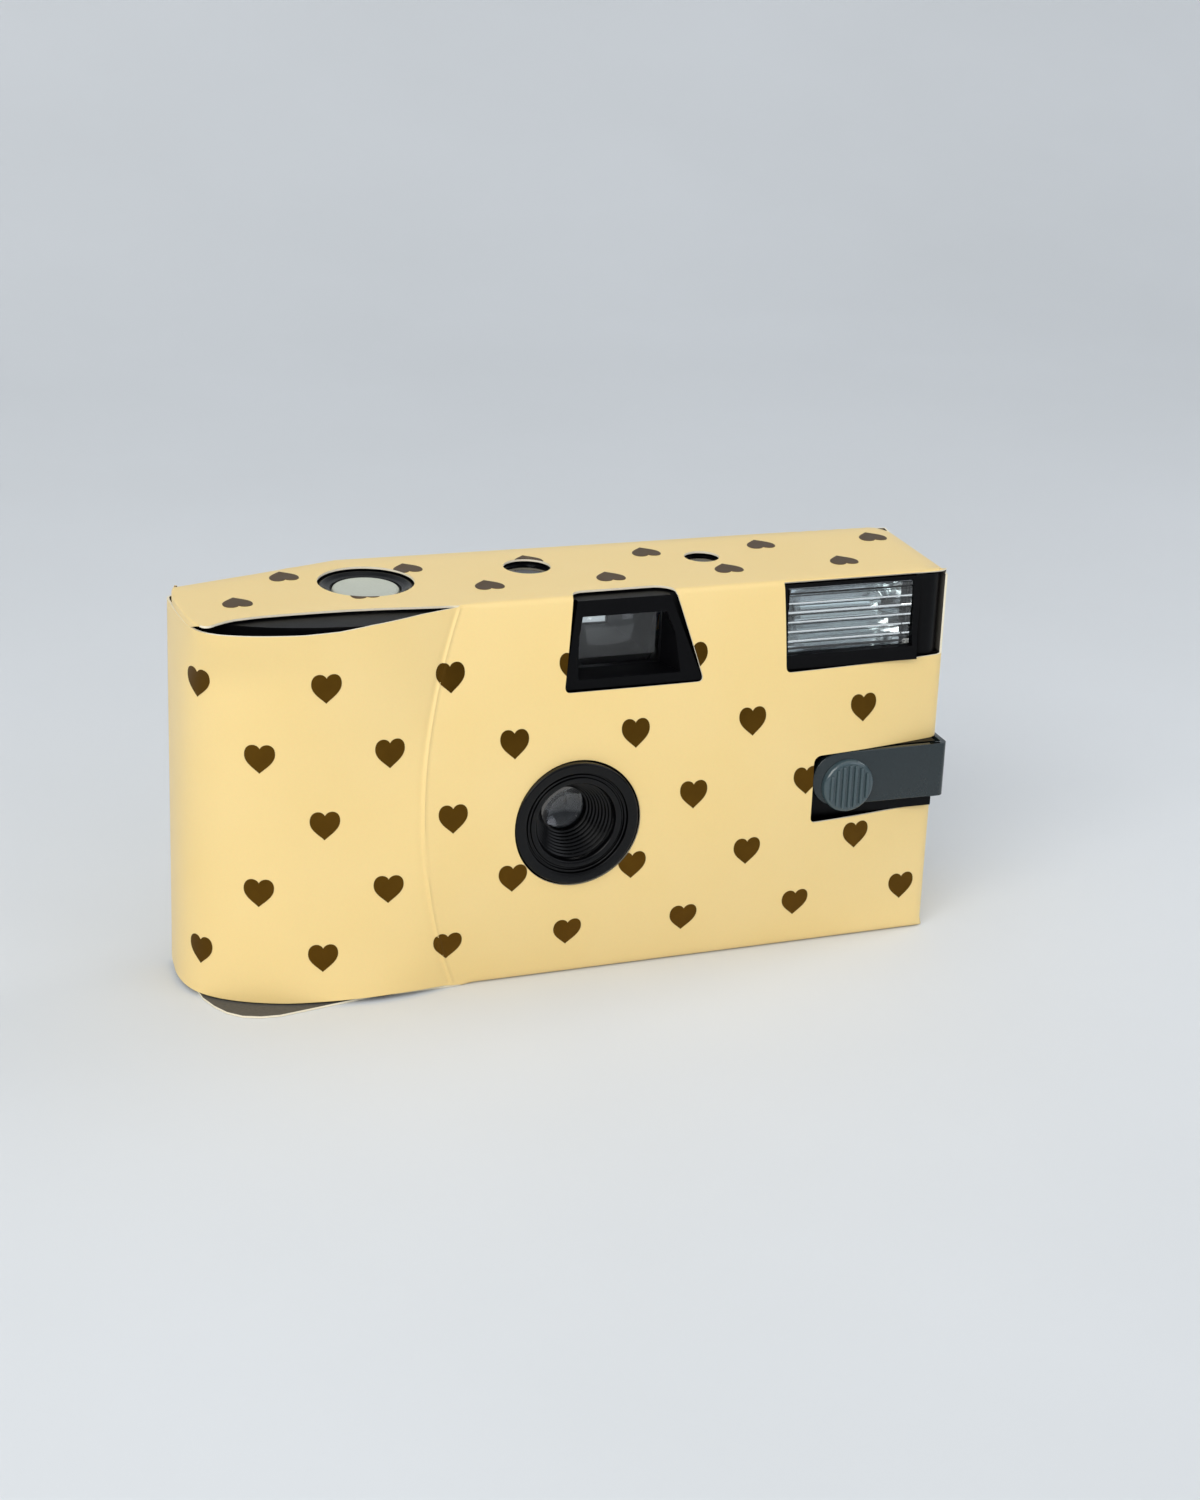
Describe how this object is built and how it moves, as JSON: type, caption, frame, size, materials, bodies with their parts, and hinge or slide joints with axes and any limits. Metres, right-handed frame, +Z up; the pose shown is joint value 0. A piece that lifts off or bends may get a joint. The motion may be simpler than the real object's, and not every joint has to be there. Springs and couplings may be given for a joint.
{
  "type": "disposable film camera",
  "caption": "Single-use film camera in a card sleeve, with grip, stepped lens ring, viewfinder, flash window, flash slider, shutter button and thumb wheel.",
  "frame": {"origin": "centre of the bottom of the bounding box, on the surface that the camera stands on", "axes": "+X to the right seen from the front, +Y from the lens to the back, +Z up"},
  "size_m": [0.1188, 0.032, 0.0597],
  "materials": {
    "card": "printed satin card",
    "black_plastic": "fine grained",
    "frame_plastic": "matte",
    "cream_plastic": "satin",
    "clear_plastic": "polished",
    "lens_acrylic": "polished",
    "pale_plastic": "satin",
    "slate_plastic": "satin",
    "cassette_tin": "lacquered",
    "felt": "velvet",
    "film": "gloss",
    "reflector": "mirror",
    "tube_glass": "polished",
    "board": "lacquered",
    "component_black": "satin",
    "winding": "enamelled",
    "lamp_glass": "polished",
    "cell_wrap": "wrapped",
    "spring_steel": "drawn",
    "contact_copper": "bright"
  },
  "bodies": {
    "camera": {"battery_cell": "cell_wrap", "battery_contact_negative": "spring_steel", "battery_contact_positive": "spring_steel", "blade_spring": "spring_steel", "board_components": "component_black", "card_sleeve": "card", "cassette_bottom_cap": "cassette_tin", "cassette_felt": "felt", "cassette_shell": "cassette_tin", "cassette_top_cap": "cassette_tin", "counter_window": "clear_plastic", "film_strip": "film", "flash_board": "board", "flash_capacitor": "component_black", "flash_lens": "clear_plastic", "flash_reflector": "reflector", "flash_transformer": "winding", "flash_tube": "tube_glass", "front_cover": "black_plastic", "lamp_light_pipe": "clear_plastic", "lens_bezel": "black_plastic", "lens_retainer": "frame_plastic", "main_frame": "frame_plastic", "ready_lamp": "lamp_glass", "rear_cover": "black_plastic", "release_spring": "spring_steel", "striker_spring": "spring_steel", "sync_contacts": "contact_copper", "taking_lens": "lens_acrylic", "trigger_coil": "winding", "viewfinder_eyepiece": "clear_plastic", "viewfinder_objective": "clear_plastic"},
    "button": {"shutter_button": "pale_plastic"},
    "lever": {"release_lever": "cream_plastic"},
    "striker": {"shutter_striker": "cream_plastic"},
    "blade": {"shutter_blade": "spring_steel"},
    "film_advance": {"thumb_wheel": "frame_plastic", "cassette_spool": "frame_plastic"},
    "sprocket": {"sprocket_shaft": "cream_plastic", "metering_cam": "cream_plastic"},
    "supply": {"supply_spool": "frame_plastic", "film_roll": "film"},
    "counter": {"counter_dial": "cream_plastic"},
    "slider": {"flash_slider": "slate_plastic", "slider_contact": "contact_copper"}
  },
  "joints": [
    {"name": "button_press", "type": "slide", "parent": "camera", "child": "button", "axis": [0, 0, -1], "range_m": [0, 0.0018], "stiffness_N_per_m": 800, "springref_m": -0.001},
    {"name": "lever_rock", "type": "hinge", "parent": "camera", "child": "lever", "pos_m": [-0.0175, 0, 0.0549], "axis": [0, -1, 0], "range_deg": [0, 8.5]},
    {"name": "striker_swing", "type": "hinge", "parent": "camera", "child": "striker", "pos_m": [-0.0015, -0.007, 0.0442], "axis": [0, -1, 0], "range_deg": [0, 25], "stiffness_Nm_per_rad": 0.004, "springref_deg": -11.46},
    {"name": "blade_swing", "type": "hinge", "parent": "camera", "child": "blade", "pos_m": [0.005, -0.0067, 0.0292], "axis": [0, 1, 0], "range_deg": [0, 33]},
    {"name": "wheel_turn", "type": "hinge", "parent": "camera", "child": "film_advance", "pos_m": [-0.0325, 0.0007, 0.05], "axis": [0, 0, 1], "continuous": true},
    {"name": "sprocket_turn", "type": "hinge", "parent": "camera", "child": "sprocket", "pos_m": [-0.0124, 0.00438, 0.045], "axis": [0, 0, 1], "continuous": true},
    {"name": "supply_turn", "type": "hinge", "parent": "camera", "child": "supply", "pos_m": [0.0385, 0.0025, 0.026], "axis": [0, 0, 1], "continuous": true},
    {"name": "counter_turn", "type": "hinge", "parent": "camera", "child": "counter", "pos_m": [0.00036, 0.0036, 0.0574], "axis": [0, 0, 1], "continuous": true},
    {"name": "slider_slide", "type": "slide", "parent": "camera", "child": "slider", "axis": [1, 0, 0], "range_m": [0, 0.005]}
  ],
  "couplings": [
    {"joint": "lever_rock", "follows": "button_press", "rad_per_m": 80},
    {"joint": "blade_swing", "follows": "striker_swing", "ratio": 1.28},
    {"joint": "sprocket_turn", "follows": "wheel_turn", "ratio": 1.15},
    {"joint": "supply_turn", "follows": "wheel_turn", "ratio": 0.9},
    {"joint": "counter_turn", "follows": "wheel_turn", "ratio": -0.035937}
  ]
}
